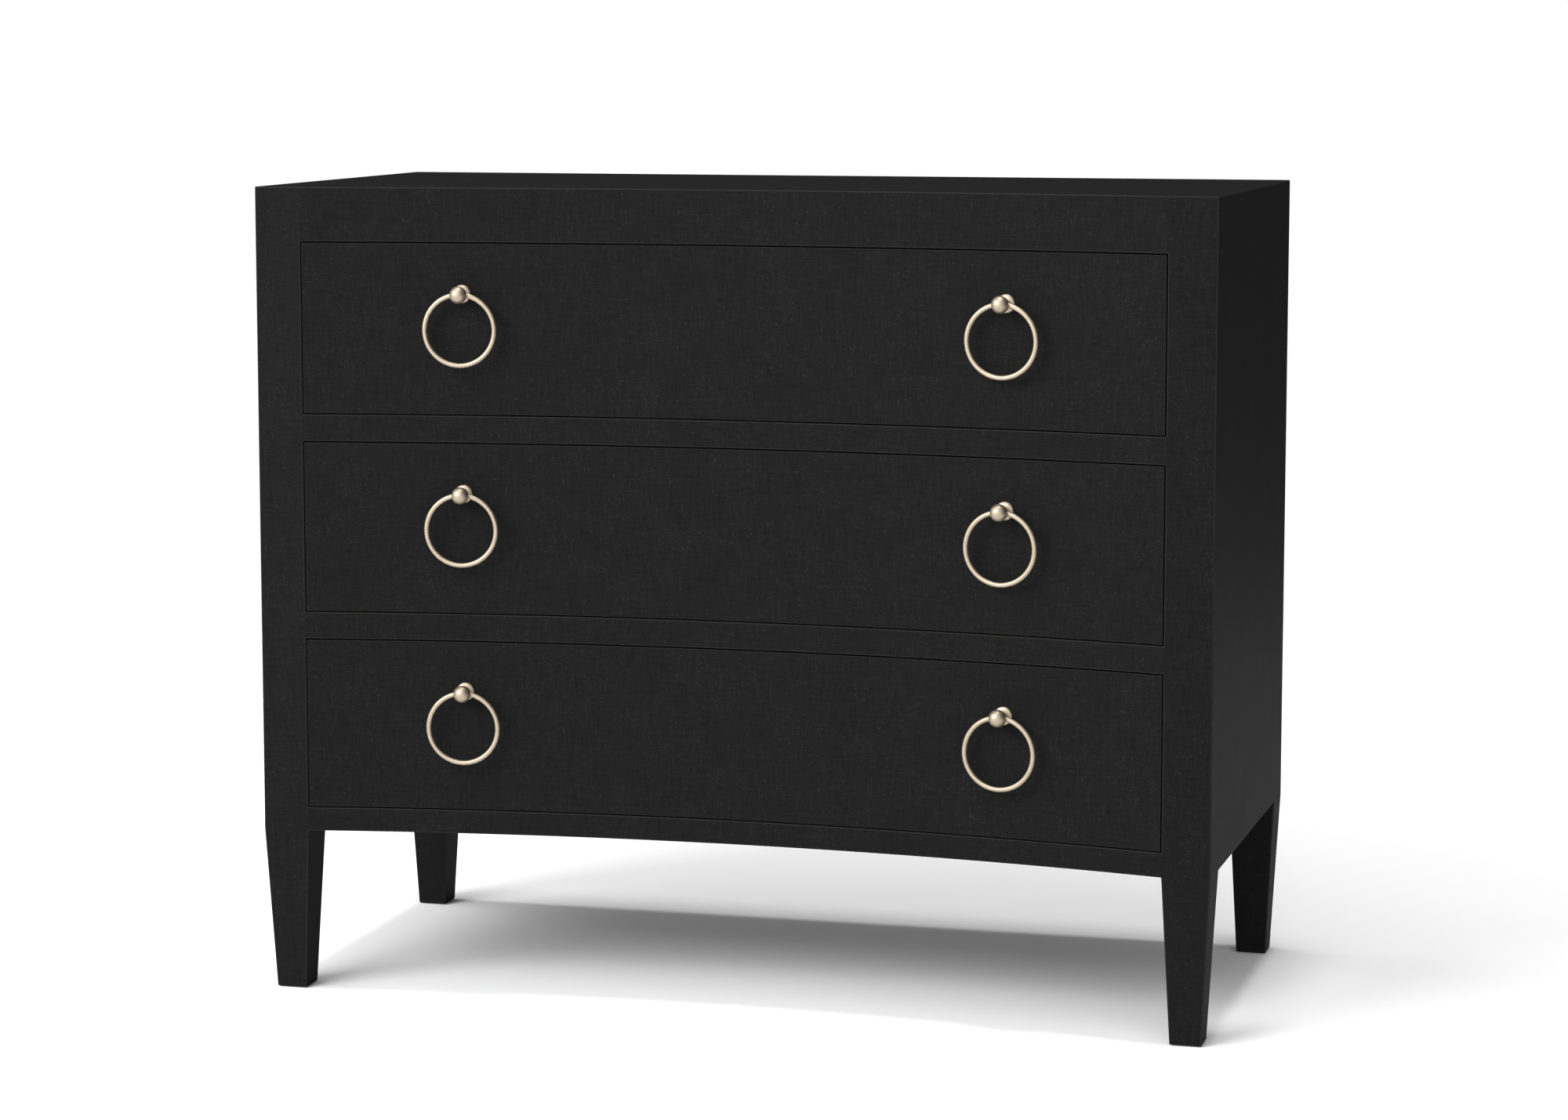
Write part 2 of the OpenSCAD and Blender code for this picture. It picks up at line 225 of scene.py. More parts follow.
class Finish(Graph):
    """One material. surface() ends it with the Principled shader."""

    def __init__(self, name):
        self.material = bpy.data.materials.new(name)
        self.material.use_nodes = True
        super().__init__(self.material.node_tree)
        self.tree.nodes.clear()

    def place(self):
        return self.node("ShaderNodeTexCoord", out="Object")

    def cloth(self, name):
        """u and v of a UV map whose unit is a metre."""
        return self.split(self.node("ShaderNodeUVMap", {"uv_map": name}))[:2]

    def carried(self, name):
        """A number that the mesh carries."""
        return self.node("ShaderNodeAttribute",
                         {"attribute_name": name, "attribute_type": "GEOMETRY"}, out="Fac")

    def noise(self, vector, scale, detail=2.0, roughness=0.5):
        return self.node("ShaderNodeTexNoise", {"normalize": True},
                         {"Vector": vector, "Scale": scale, "Detail": detail,
                          "Roughness": roughness})

    def stretched(self, vector, sizes):
        return self.node("ShaderNodeMapping", {"vector_type": "POINT"},
                         {"Vector": vector, "Scale": sizes})

    def mix(self, first, second, amount):
        return self.node("ShaderNodeMix", {"data_type": "RGBA"},
                         {0: amount, 6: first, 7: second}, out=2)

    def bump(self, height, distance, strength=1.0):
        return self.node("ShaderNodeBump", None,
                         {"Height": height, "Distance": distance, "Strength": strength})

    def surface(self, **values):
        shader = self.node("ShaderNodeBsdfPrincipled", None,
                           {key.replace("_", " "): value for key, value in values.items()})
        self.node("ShaderNodeOutputMaterial", None, {"Surface": shader})
        print("finish", self.material.name, "has", len(self.tree.nodes), "nodes")
        return self.material


# %% [markdown]
# ## Black lacquered linen
#
# The boards are wrapped in linen and lacquered over, so the cloth shows as a fine weave under a
# satin black film. Linen yarn is uneven: here and there a thread swells, and those slubs catch the
# light as short pale dashes along the thread. The pattern is laid on a UV map measured in metres,
# where u runs along the heavier threads. Each thread has a number, and a noise that is read along
# the thread at that number decides where it swells. Cloudy patches come from how much lacquer the
# cloth took up.

# %% Weave the linen
THREAD = 0.00080                                  # distance between threads


def slubs(finish, along, across, length, rarity):
    """Short swellings of single threads: 1 on a slub and 0 elsewhere."""
    thread = (across / THREAD).floor()
    body = across / THREAD - thread
    swell = finish.noise(finish.point(along / length, thread * 7.31, thread * 1.73), 1.0, 1.0)
    rounded = 1 - ((body - 0.5) * 2.0).size() ** 2.0
    return swell.step(rarity, rarity + 0.09) * rounded


def make_linen():
    finish = Finish("black_lacquered_linen")
    u, v = finish.cloth("weave")
    sway = finish.noise(finish.point(u * 12.0, v * 12.0), 1.0, 1.0) * 0.0006
    u, v = u + sway, v - sway
    patch = finish.noise(finish.point(u * 14.0, v * 20.0), 1.0, 3.0, 0.6)
    weft = slubs(finish, u, v, 0.0042, 0.65)
    warp = slubs(finish, v, u, 0.0036, 0.65)
    over = (((u / THREAD).floor() + (v / THREAD).floor()) * 0.5).fract() > 0.25
    ridge_u = (((u / THREAD).fract() - 0.5) * 2.0).size()
    ridge_v = (((v / THREAD).fract() - 0.5) * 2.0).size()
    weave = (1 - ridge_v * ridge_v) * over + (1 - ridge_u * ridge_u) * (1 - over)
    yarn_u = finish.noise(finish.point(u * 45.0, (v / THREAD * 0.6).floor() * 3.1), 1.0, 2.0)
    yarn_v = finish.noise(finish.point(v * 45.0, (u / THREAD * 0.6).floor() * 3.7), 1.0, 2.0)
    pale = (weft + warp) * patch.step(0.25, 0.75)
    rare = slubs(finish, u, v, 0.0075, 0.73) + slubs(finish, v, u, 0.0065, 0.71)
    yarn = (yarn_u + yarn_v) * 0.36
    light = pale * 0.85 + rare * 1.1 + yarn + patch * 0.10 + weave * 0.08 - 0.15
    # The eased roundings get a lighter, glossier linen: partly lacquer wear on the edges, partly a
    # painted highlight along them.
    arris_wear_and_highlight = finish.carried("arris_wear_and_highlight")
    colour = finish.mix((0.0034, 0.0034, 0.0034, 1), (0.0175, 0.0175, 0.0172, 1), light)
    colour = finish.mix(colour, (0.0160, 0.0160, 0.0157, 1), arris_wear_and_highlight)
    height = weave * 0.5 + pale * 0.7 + rare * 0.7 + patch * 0.2
    return finish.surface(
        Base_Color=colour,
        Roughness=0.56 - weave * 0.05 + patch * 0.08 - arris_wear_and_highlight * 0.06,
        Specular_IOR_Level=0.02,
        Normal=finish.bump(height, 0.00014, 0.7),
    )


LINEN = make_linen()

# %% [markdown]
# ## Wood, paint, brass, steel and nylon
#
# The drawer boxes are birch plywood: pale, with fine long grain and small dark flecks, and with
# its plies showing on the cut edges. The back and the base are board with a thin black paint that
# leaves the grain faintly visible. The pulls are satin brass, rubbed rather than polished, so
# their shine is uneven at the scale of a fingertip. The slides are zinc-plated steel, whose
# plating has soft crystal patches.

# %% Birch plywood
VENEER = 0.0014                                   # thickness of one ply


def make_birch():
    finish = Finish("birch_plywood")
    u, v = finish.cloth("weave")
    long_grain = finish.point(u * 3.0, v * 90.0)
    warp = finish.noise(finish.point(u * 2.0, v * 6.0), 1.0, 2.0) * 3.0
    rings = finish.noise(finish.point(u * 1.4, v * 22.0 + warp), 1.0, 4.0, 0.6)
    fibre = finish.noise(long_grain, 4.0, 6.0, 0.7)
    fleck = finish.noise(finish.point(u * 130.0, v * 1500.0), 1.0, 1.0).step(0.66, 0.74)
    face = finish.mix((0.42, 0.305, 0.185, 1), (0.60, 0.47, 0.31, 1),
                      rings * 0.7 + fibre * 0.45 - 0.1)
    face = finish.mix(face, (0.28, 0.185, 0.10, 1), fleck * 0.5)
    ply = finish.carried("ply")
    layer = (ply / VENEER).floor()
    odd = (layer * 0.5).fract() > 0.25
    glue = ((ply / VENEER).fract() - 0.5).size().step(0.42, 0.5)
    speckle = finish.noise(finish.point(u * 700.0, layer * 3.7), 1.0, 2.0)
    edge = finish.mix((0.48, 0.36, 0.22, 1), (0.29, 0.19, 0.10, 1), odd * (0.45 + speckle * 0.5))
    edge = finish.mix(edge, (0.12, 0.07, 0.035, 1), glue * 0.7)
    colour = finish.mix(face, edge, ply > 0.0)
    return finish.surface(
        Base_Color=colour,
        Roughness=0.42 + fibre * 0.16,
        Normal=finish.bump(fibre * 0.6 - fleck, 0.00012, 0.7),
    )


# %% Painted board
def make_painted_board():
    finish = Finish("black_painted_board")
    u, v = finish.cloth("weave")
    grain = finish.noise(finish.point(u * 6.0, v * 260.0), 1.0, 4.0, 0.65)
    cathedral = finish.noise(finish.point(u * 1.2, v * 9.0), 1.0, 3.0)
    lines = (cathedral * 46.0).sine() * 0.5 + 0.5
    roller = finish.noise(finish.point(u * 420.0, v * 420.0), 1.0, 2.0)
    colour = finish.mix((0.010, 0.010, 0.010, 1), (0.026, 0.0255, 0.025, 1),
                        grain * 0.6 + lines * 0.25)
    return finish.surface(
        Base_Color=colour,
        Roughness=0.50 + roller * 0.16,
        Specular_IOR_Level=0.38,
        Normal=finish.bump(grain * 0.6 + lines * 0.25 + roller * 0.25, 0.00022, 0.7),
    )


# %% Champagne brass
def make_brass():
    finish = Finish("satin_champagne_brass")
    place = finish.place()
    rubbed = finish.noise(finish.stretched(place, (900.0, 900.0, 2600.0)), 1.0, 3.0)
    handled = finish.noise(place, 160.0, 2.0)
    colour = finish.mix((0.350, 0.294, 0.224, 1), (0.435, 0.366, 0.281, 1),
                        handled * 0.7 + rubbed * 0.3)
    return finish.surface(
        Base_Color=colour,
        Metallic=1.0,
        Roughness=0.42 + handled * 0.08 + rubbed * 0.06,
        Normal=finish.bump(rubbed, 0.00002, 0.35),
    )


# %% Zinc-plated steel
def make_steel():
    finish = Finish("zinc_plated_steel")
    place = finish.place()
    crystal = finish.node("ShaderNodeTexVoronoi", {"feature": "F1"},
                          {"Vector": place, "Scale": 260.0}, out="Color")
    rolled = finish.noise(finish.stretched(place, (2400.0, 60.0, 2400.0)), 1.0, 2.0)
    shade = finish.node("ShaderNodeRGBToBW", None, {0: crystal})
    colour = finish.mix((0.46, 0.47, 0.50, 1), (0.66, 0.67, 0.69, 1), shade * 0.6 + rolled * 0.4)
    return finish.surface(
        Base_Color=colour,
        Metallic=1.0,
        Roughness=0.26 + shade * 0.12 + rolled * 0.08,
        Normal=finish.bump(rolled, 0.00002, 0.4),
    )


# %% Nylon
def make_nylon():
    finish = Finish("dark_nylon")
    grain = finish.noise(finish.place(), 2200.0, 2.0)
    colour = finish.mix((0.020, 0.019, 0.018, 1), (0.040, 0.038, 0.036, 1), grain)
    return finish.surface(
        Base_Color=colour,
        Roughness=0.46 + grain * 0.12,
        Normal=finish.bump(grain, 0.00003, 0.5),
    )


BIRCH = make_birch()
PAINT = make_painted_board()
BRASS = make_brass()
STEEL = make_steel()
NYLON = make_nylon()

# %% [markdown]
# ## Tools for boards
#
# A real board has no knife edges: each arris is eased by a millimetre or so, and that thin
# rounding is what catches the light along the top of this chest. The linen also paints the
# roundings lighter, partly as edge wear and partly as a painted highlight. The CAD boards are
# exact but sharp. So each one is copied, its loose triangles are joined back into whole faces,
# its bowed face is divided finely and laid on the true arc, and only the edges that a hand could
# touch are rounded. Where two boards meet flush under one piece of linen the edges stay sharp,
# so the joint disappears as it does on the real case.

# %% Move meshes in and out
def to_mesh(bm, name):
    """A mesh from a BMesh, which is then freed."""
    mesh = bpy.data.meshes.new(name)
    bm.to_mesh(mesh)
    bm.free()
    return mesh


def settled(holder):
    """The mesh of an object with its modifiers applied. The object itself is removed."""
    shown = holder.evaluated_get(bpy.context.evaluated_depsgraph_get())
    mesh = bpy.data.meshes.new_from_object(shown)
    bpy.data.objects.remove(holder)
    return mesh


def cut_at(bm, place, normal):
    """Divides every face along a plane."""
    bmesh.ops.bisect_plane(bm, geom=bm.verts[:] + bm.edges[:] + bm.faces[:], dist=1e-6,
                           plane_co=place, plane_no=normal)


# %% Join a CAD board's triangles into faces
def whole_faces(node):
    """The CAD node's mesh with its triangles joined, ready to be worked on."""
    bm = bmesh.new()
    bm.from_mesh(frame["nodes"][node].data)
    bmesh.ops.remove_doubles(bm, verts=bm.verts, dist=1e-6)
    bmesh.ops.dissolve_limit(bm, angle_limit=0.002, verts=bm.verts, edges=bm.edges)
    return bm


def lay_on_bow(bm, strips=96):
    """Divides a board into upright strips and lays its concave face on the true arc."""
    for n in range(1, strips):
        cut_at(bm, (OPEN_HALF * (2 * n / strips - 1), 0, 0), (1, 0, 0))
    for vert in bm.verts:
        x, y = vert.co.xy
        off_arc = abs(math.hypot(x, y - BOW_Y) - BOW_R)
        if abs(x) < OPEN_HALF + 1e-5 and y < 0 and off_arc < 0.0008:
            vert.co.y = bow(x)


# %% Ease chosen edges and give the board its cloth or grain
def ease(bm, exposed, width, segments=3):
    """Rounds the sharp convex edges for which exposed(edge) is true."""
    edges = [e for e in bm.edges if len(e.link_faces) == 2
             and e.calc_face_angle_signed(0.0) > math.radians(50) and exposed(e)]
    # The rounded faces are marked; the linen paints them lighter, partly as edge wear and partly
    # as a painted highlight.
    arris_wear_and_highlight = bm.faces.layers.float.get("arris_wear_and_highlight") or bm.faces.layers.float.new("arris_wear_and_highlight")
    rounded = bmesh.ops.bevel(bm, geom=edges, offset=width, offset_type="OFFSET",
                              segments=segments, profile=0.5, affect="EDGES", clamp_overlap=True)
    for face in rounded["faces"]:
        face[arris_wear_and_highlight] = 1.0
    return len(edges)


def lay_pattern(mesh, upright=None, ply=None):
    """Writes the UV map "weave" in metres. u runs along x or y, or along z where upright(face)."""
    places = []
    depths = []
    for face in mesh.polygons:
        normal = face.normal
        axis = max(range(3), key=lambda k: abs(normal[k]))
        first, second = ((1, 2), (0, 2), (0, 1))[axis]
        if upright and upright(face):
            first, second = second, first
        for vertex in face.vertices:
            co = mesh.vertices[vertex].co
            places += [co[first], co[second]]
            depths.append(ply(face, axis, co) if ply else -1.0)
    mesh.uv_layers.new(name="weave").data.foreach_set("uv", places)
    if ply:
        mesh.attributes.new("ply", "FLOAT", "CORNER").data.foreach_set("value", depths)


def even_shading(mesh, sharp=35.0):
    """Smooth over small angles, sharp over large ones, and flat across whole faces."""
    for polygon in mesh.polygons:
        polygon.use_smooth = True
    holder = bpy.data.objects.new("shading", mesh)
    SCENE.collection.objects.link(holder)
    bm = bmesh.new()
    bm.from_mesh(mesh)
    turns = {edge: math.degrees(edge.calc_face_angle(4.0)) for edge in bm.edges}
    for edge, turn in turns.items():
        edge.smooth = turn < sharp
    for vert in bm.verts:
        hard = any(turns[e] >= sharp for e in vert.link_edges)
        if hard and sum(10 < turns[e] < sharp for e in vert.link_edges) > 1:
            for edge in vert.link_edges:                # where a rounding runs out
                edge.smooth = False
    bm.to_mesh(mesh)
    bm.free()
    weighted = holder.modifiers.new("even", "WEIGHTED_NORMAL")
    weighted.keep_sharp = True
    weighted.weight = 100
    return settled(holder)


# %% Put a finished piece in its place
def put(name, mesh, material, body, slot, *stands_for):
    """Makes the object, rides it on its body and hides the CAD nodes it stands for."""
    if material:
        mesh.materials.clear()
        mesh.materials.append(material)
    obj = bpy.data.objects.new(name, mesh)
    mesh.name = name
    SCENE.collection.objects.link(obj)
    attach(obj, body)
    if stands_for:
        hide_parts(*stands_for)
    return obj


def board(node, name, exposed, material, body, slot, width=0.0012, bowed=False, upright=None,
          ply=None):
    """A CAD board with eased edges and its finish."""
    bm = whole_faces(node)
    if bowed:
        lay_on_bow(bm)
    eased = ease(bm, exposed, width)
    mesh = even_shading(to_mesh(bm, name))
    lay_pattern(mesh, upright, ply)
    obj = put(name, mesh, material, body, slot, node)
    print(f"{name}: {eased} edges eased, {len(mesh.polygons)} faces")
    return obj


# %% Questions about an edge
def both(edge, test):
    """True if both ends of the edge pass the test."""
    return all(test(v.co) for v in edge.verts)


def near(a, b):
    return abs(a - b) < 2e-4


def leans(edge):
    """True if the edge is upright or nearly so."""
    run = edge.verts[1].co - edge.verts[0].co
    return abs(run.z) > 0.7 * run.length


# %% [markdown]
# ## The case
#
# Four posts run from the floor to the top, and their lower ends are the tapered legs. The cloth on
# posts and sides runs upright, on the rails and the top it runs across, and at the ends of the
# top's front edge it turns upright again to carry on the stiles.

# %% Posts and legs
GLIDE_EDGE = 0.013                                # from a foot's middle, outside the glide
LEG_CORNER = 0.019                                # from a post's middle, outside the leg's slope
LOW_ON_LEG = 0.1
ON_CORNER = 3e-4
for side, s in SIDES.items():
    for end in ("front", "back"):
        node = f"{end}_post_{side}"
        low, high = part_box(node)
        mid = (low + high) / 2
        outer = Vector((s * HALF_W, FACE_Y if end == "front" else BACK_Y))
        inner = Vector((s * OPEN_HALF, FACE_Y))

        def on_post(edge, end=end, low=low, mid=mid, outer=outer, inner=inner):
            if not leans(edge):
                return both(edge, lambda c: near(c.z, low.z)
                            and (c.xy - mid.xy).length > GLIDE_EDGE)
            if both(edge, lambda c: c.z < CASE_BOTTOM + 1e-4):
                return both(edge, lambda c: (c.xy - mid.xy).length > LEG_CORNER
                            or c.z < LOW_ON_LEG)
            if both(edge, lambda c: (c.xy - outer).length < ON_CORNER):
                return True
            middle = (edge.verts[0].co + edge.verts[1].co) / 2
            beside = any(a < middle.z < b for a, b in openings)
            return (end == "front" and beside
                    and both(edge, lambda c: (c.xy - inner).length < ON_CORNER))

        bm = whole_faces(node)
        if end == "front":
            for a, b in openings:
                for z in (a, b):
                    cut_at(bm, (0, 0, z), (0, 0, 1))
        count = ease(bm, on_post, 0.0012)
        mesh = even_shading(to_mesh(bm, node))
        lay_pattern(mesh, upright=lambda face: True)
        put(node.replace("post", "post_and_leg"), mesh, LINEN, "case", "linen_lacquer", node)
        print(f"{node}: {count} edges eased, {len(mesh.polygons)} faces")

# %% Side panels
def on_side(edge):
    return not leans(edge) and both(
        edge, lambda c: near(c.z, CASE_BOTTOM) and near(abs(c.x), HALF_W))


for side in SIDES:
    board(f"side_panel_{side}", f"linen_side_{side}", on_side, LINEN, "case", "linen_lacquer",
          upright=lambda face: True)


# %% Top
def on_top(edge):
    """The rim above, and the two corners at each side."""
    return both(edge, lambda c: near(c.z, top_high.z)) or leans(edge) and both(
        edge, lambda c: near(abs(c.x), HALF_W) and (near(c.y, FACE_Y) or near(c.y, BACK_Y)))


def turned_upright(face):
    """The sides, and the two ends of the front edge."""
    return abs(face.normal.x) > 0.7 or (
        abs(face.normal.y) > 0.7 and abs(face.center.x) > OPEN_HALF and face.center.y < 0)


board("top_panel", "linen_top", on_top, LINEN, "case", "linen_lacquer", bowed=True,
      upright=turned_upright)


# %% Rails
def on_bow(c):
    return abs(c.x) < OPEN_HALF + 1e-4 and near(c.y, bow(min(abs(c.x), OPEN_HALF)))


for node in RAILS:
    low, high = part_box(node)

    def on_rail(edge, low=low, high=high, node=node):
        in_front = both(edge, on_bow)
        under = both(edge, lambda c: near(c.z, low.z))
        over = both(edge, lambda c: near(c.z, high.z)) and node != "top_rail"
        return in_front and not leans(edge) and (under or over)

    board(node, "linen_" + node, on_rail, LINEN, "case", "linen_lacquer", bowed=True)

# %% Back and base
back_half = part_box("back_panel")[1].x


def on_back(edge):
    """The rim of the back panel's outer face."""
    return both(edge, lambda c: near(c.y, BACK_Y) and (
        near(c.z, CASE_BOTTOM) or near(c.z, CASE_TOP) or near(abs(c.x), back_half)))


board("back_panel", "painted_back", on_back, PAINT, "case", "painted_board", width=0.0007)
board("base_panel", "painted_base", lambda e: False, PAINT, "case", "painted_board")

# %% [markdown]
# ## Geometry Nodes written the same way
#
# The bent drawer fronts follow one rule, and the screws, bearing balls and rings repeat one shape.
# Those are jobs for Geometry Nodes. A Recipe is a Graph with named inputs. grow() sets the inputs
# by their identifiers before the object is first evaluated, and turns the result into a plain
# mesh.

# %% Recipes
class Recipe(Graph):
    def __init__(self, name, **inputs):
        super().__init__(bpy.data.node_groups.new(name, "GeometryNodeTree"))
        self.ids = {}
        self.socket("Geometry", "INPUT", "Geometry")
        for key, kind in inputs.items():
            self.ids[key] = self.socket(key, "INPUT", kind).identifier
        self.socket("Geometry", "OUTPUT", "Geometry")
        self.start, *given = self.node("NodeGroupInput", out=("Geometry", *inputs))
        self.given = dict(zip(inputs, given))

    def socket(self, name, direction, kind):
        return self.tree.interface.new_socket(name, in_out=direction,
                                              socket_type="NodeSocket" + kind)

    def finish(self, geometry, material):
        real = self.node("GeometryNodeRealizeInstances", None, {0: geometry})
        dressed = self.node("GeometryNodeSetMaterial", None,
                            {"Geometry": real, "Material": material})
        self.node("NodeGroupOutput", None, {0: dressed})
        return self


def grow(recipe, start=None, **sizes):
    """Runs a recipe on a mesh, or on nothing, and returns the mesh it makes."""
    holder = bpy.data.objects.new("holder", start or bpy.data.meshes.new("holder"))
    SCENE.collection.objects.link(holder)
    modifier = holder.modifiers.new("recipe", "NODES")
    modifier.node_group = recipe.tree
    for key, value in sizes.items():
        modifier[recipe.ids[key]] = value
    return settled(holder)


# %% [markdown]
# ## Drawer fronts
#
# A front is a flat board that has been bent: each point keeps its place across the chest and
# slides back until it lies on its arc. That is one line of arithmetic, so the recipe starts from a
# straight board, divided into columns, and moves its points by that rule. The edges are eased
# afterwards. The linen is turned over all four edges, so a wrapped front is a little larger than
# its bare board.

# %% The rule of a bent board
def bent_board_recipe():
    recipe = Recipe("bent_board", Width="Float", Thickness="Float", Height="Float",
                    Radius="Float", Centre="Float", Base="Float", Columns="Int")
    g = recipe.given
    size = recipe.point(g["Width"], g["Thickness"], g["Height"])
    plank = recipe.node(
        "GeometryNodeMeshCube", None,
        {"Size": size, "Vertices X": g["Columns"], "Vertices Y": 2, "Vertices Z": 2}, out="Mesh")
    x, y, z = recipe.split(recipe.node("GeometryNodeInputPosition"))
    reach = y + g["Thickness"] * 0.5 + g["Radius"]
    slid = (reach * reach - x * x).root() + g["Centre"]
    moved = recipe.point(x, slid, z + g["Height"] * 0.5 + g["Base"])
    bent = recipe.node("GeometryNodeSetPosition", None, {"Geometry": plank, "Position": moved})
    return recipe.finish(bent, LINEN)


BENT_BOARD = bent_board_recipe()

# %% Bend the three fronts
WRAP = 0.0003                                     # linen turned over a front's edges
COLUMNS = 97                                      # points along a front
for name in DRAWERS:
    node = name + "_drawer_front"
    low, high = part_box(node)
    mesh = grow(BENT_BOARD, Width=high.x - low.x + 2 * WRAP, Thickness=FRONT_T,
                Height=high.z - low.z + 2 * WRAP, Radius=BOW_R, Centre=BOW_Y,
                Base=low.z - WRAP, Columns=COLUMNS)
    bm = bmesh.new()
    bm.from_mesh(mesh)
    bmesh.ops.remove_doubles(bm, verts=bm.verts, dist=1e-6)
    bmesh.ops.recalc_face_normals(bm, faces=bm.faces)
    count = ease(bm, lambda e: True, 0.0005)
    mesh = even_shading(to_mesh(bm, node))
    lay_pattern(mesh)
    put("linen_" + node, mesh, LINEN, name + "_drawer", "linen_lacquer", node)
    print(f"{node}: {count} edges eased, {len(mesh.polygons)} faces")

# %% [markdown]
# ## Drawer boxes
#
# The boxes are birch plywood: sides housed in the front, a back between the sides, and a thin base
# in grooves. The grain runs along each board. On the cut edges the plies show as thin stripes
# across the thickness, so those faces carry their depth in the board as an attribute named ply.

# %% Box boards
def plies(thin, start):
    """Depth through the board on its cut edges, and a negative number on its two broad faces."""
    return lambda face, axis, co: -1.0 if axis == thin else co[thin] - start + 1e-5


def at_heights(*heights):
    """Picks the level edges that lie at one of the heights."""
    return lambda edge: not leans(edge) and both(
        edge, lambda c: any(near(c.z, height) for height in heights))


for name in DRAWERS:
    body = name + "_drawer"
    for side in SIDES:
        node = f"{body}_side_{side}"
        low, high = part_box(node)
        board(node, "birch_" + node, at_heights(low.z, high.z), BIRCH, body, "birch",
              width=0.0010, ply=plies(0, low.x))
    node = body + "_back"
    low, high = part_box(node)
    board(node, "birch_" + node, at_heights(high.z), BIRCH, body, "birch",
          width=0.0010, ply=plies(1, low.y))
    node = body + "_base"
    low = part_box(node)[0]
    board(node, "birch_" + node, lambda e: False, BIRCH, body, "birch", ply=plies(2, low.z))
for node in ("slide_packers", "top_dowels"):
    board(node, "birch_" + node, lambda e: False, BIRCH, "case", "birch")

# %% [markdown]
# ## Slides
#
# Each slide is three rolled channels, one inside the other, that run on small steel balls. The
# rolled lips are rounded. One set of balls stays with the case member and the other with the
# drawer member, so all of them ride on the middle member, placed where both of its neighbours
# still cover them when the drawer is open.

# %% Rolled channels
for name in DRAWERS:
    for part, body in (("case_members", "case"), ("middle_members", name + "_slide_middles"),
                       ("drawer_members", name + "_drawer")):
        board(f"{name}_slide_{part}", f"{name}_rolled_{part}", lambda e: True, STEEL, body,
              "zinc_steel", width=0.00035)

# %% Balls along their races
def ball_recipe():
    recipe = Recipe("balls_on_points", Radius="Float")
    ball = recipe.node("GeometryNodeMeshIcoSphere", None,
                       {"Radius": recipe.given["Radius"], "Subdivisions": 2}, out="Mesh")
    smooth = recipe.node("GeometryNodeSetShadeSmooth", None, {0: ball})
    spread = recipe.node("GeometryNodeInstanceOnPoints", None,
                         {"Points": recipe.start, "Instance": smooth}, out="Instances")
    return recipe.finish(spread, STEEL)


def dots(points, normals=None):
    """A mesh that is only points, each with the direction that what stands on it looks."""
    mesh = bpy.data.meshes.new("dots")
    mesh.from_pydata([tuple(p) for p in points], [], [])
    facing = mesh.attributes.new("facing", "FLOAT_VECTOR", "POINT")
    for n, point in enumerate(points):
        facing.data[n].vector = normals[n] if normals else (0, 0, 1)
    return mesh


BALLS = ball_recipe()
BALL_R = 0.0015
STEEL_T = 0.0012
BALLS_IN_ROW = 13
ROW_START = 0.012                                 # from the end of the case member
BALL_STEP = 0.014
OUTER_RACE = 0.0064                               # from the post's face
INNER_RACE = 0.0074
for name in DRAWERS:
    case_low, case_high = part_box(name + "_slide_case_members")
    mid_low, mid_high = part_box(name + "_slide_middle_members")
    in_low, in_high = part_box(name + "_slide_drawer_members")
    case_half = (case_high.z - case_low.z) / 2
    mid_half = (mid_high.z - mid_low.z) / 2
    in_half = (in_high.z - in_low.z) / 2
    mid_z = (mid_low.z + mid_high.z) / 2
    places = []
    for s in SIDES.values():
        for n in range(BALLS_IN_ROW):
            outer_y = case_high.y - ROW_START - n * BALL_STEP
            inner_y = case_low.y + ROW_START + n * BALL_STEP
            for up in (-1, 1):
                outer_z = mid_z + up * (case_half + mid_half - STEEL_T) / 2
                inner_z = mid_z + up * (mid_half + in_half - STEEL_T) / 2
                places.append(Vector((s * (OPEN_HALF - OUTER_RACE), outer_y, outer_z)))
                places.append(Vector((s * (OPEN_HALF - INNER_RACE), inner_y, inner_z)))
    put(name + "_slide_balls", grow(BALLS, dots(places), Radius=BALL_R), STEEL,
        name + "_slide_middles", "zinc_steel")
    print(name, "slide has", len(places), "balls")

# %% [markdown]
# ## Ring pulls
#
# Each pull is turned on a lathe: a ball on a short neck, with a domed rosette against the drawer.
# A round wire ring passes through a bore in the rear of the ball. The hinge of the ring in the CAD
# model is the axis of that bore, so it gives the place and the direction of the whole pull.

# %% Where the pulls stand
def pull_frame(name, side):
    """Matrix from a pull's own axes to the chest.

    x runs along the bore, y into the drawer and z up. The hinge is at zero.
    """
    joint = next(j for j in frame["joints"] if j["name"] == f"{name}_drawer_ring_{side}_hinge")
    x = -Vector(joint["axis"]).normalized()
    y = Vector((0, 0, 1)).cross(x)
    turn = Matrix((x, y, Vector((0, 0, 1)))).transposed().to_4x4()
    return Matrix.Translation(Vector(joint["pos_m"])) @ turn


ring_low, ring_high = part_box("upper_drawer_pull_ring_left")
rosette_low, rosette_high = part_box("upper_drawer_pull_rosettes")
post_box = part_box("upper_drawer_pull_post_left")
RING_WIRE = 0.005
RING_R = (ring_high.z - ring_low.z - RING_WIRE) / 2
BALL_D = post_box[1].z - post_box[0].z
AXIS_OUT = 0.014                                  # hinge axis to the drawer's face
KNOB_BACK = 0.004                                 # hinge axis to the middle of the ball
ROSETTE_R = (rosette_high.z - rosette_low.z) / 2
SEAT = 0.0003                                     # how deep the rosette is let in
print(f"ring radius {RING_R * 1000:.1f} mm, ball {BALL_D * 1000:.1f} mm")
print(f"rosette {ROSETTE_R * 2000:.1f} mm across")


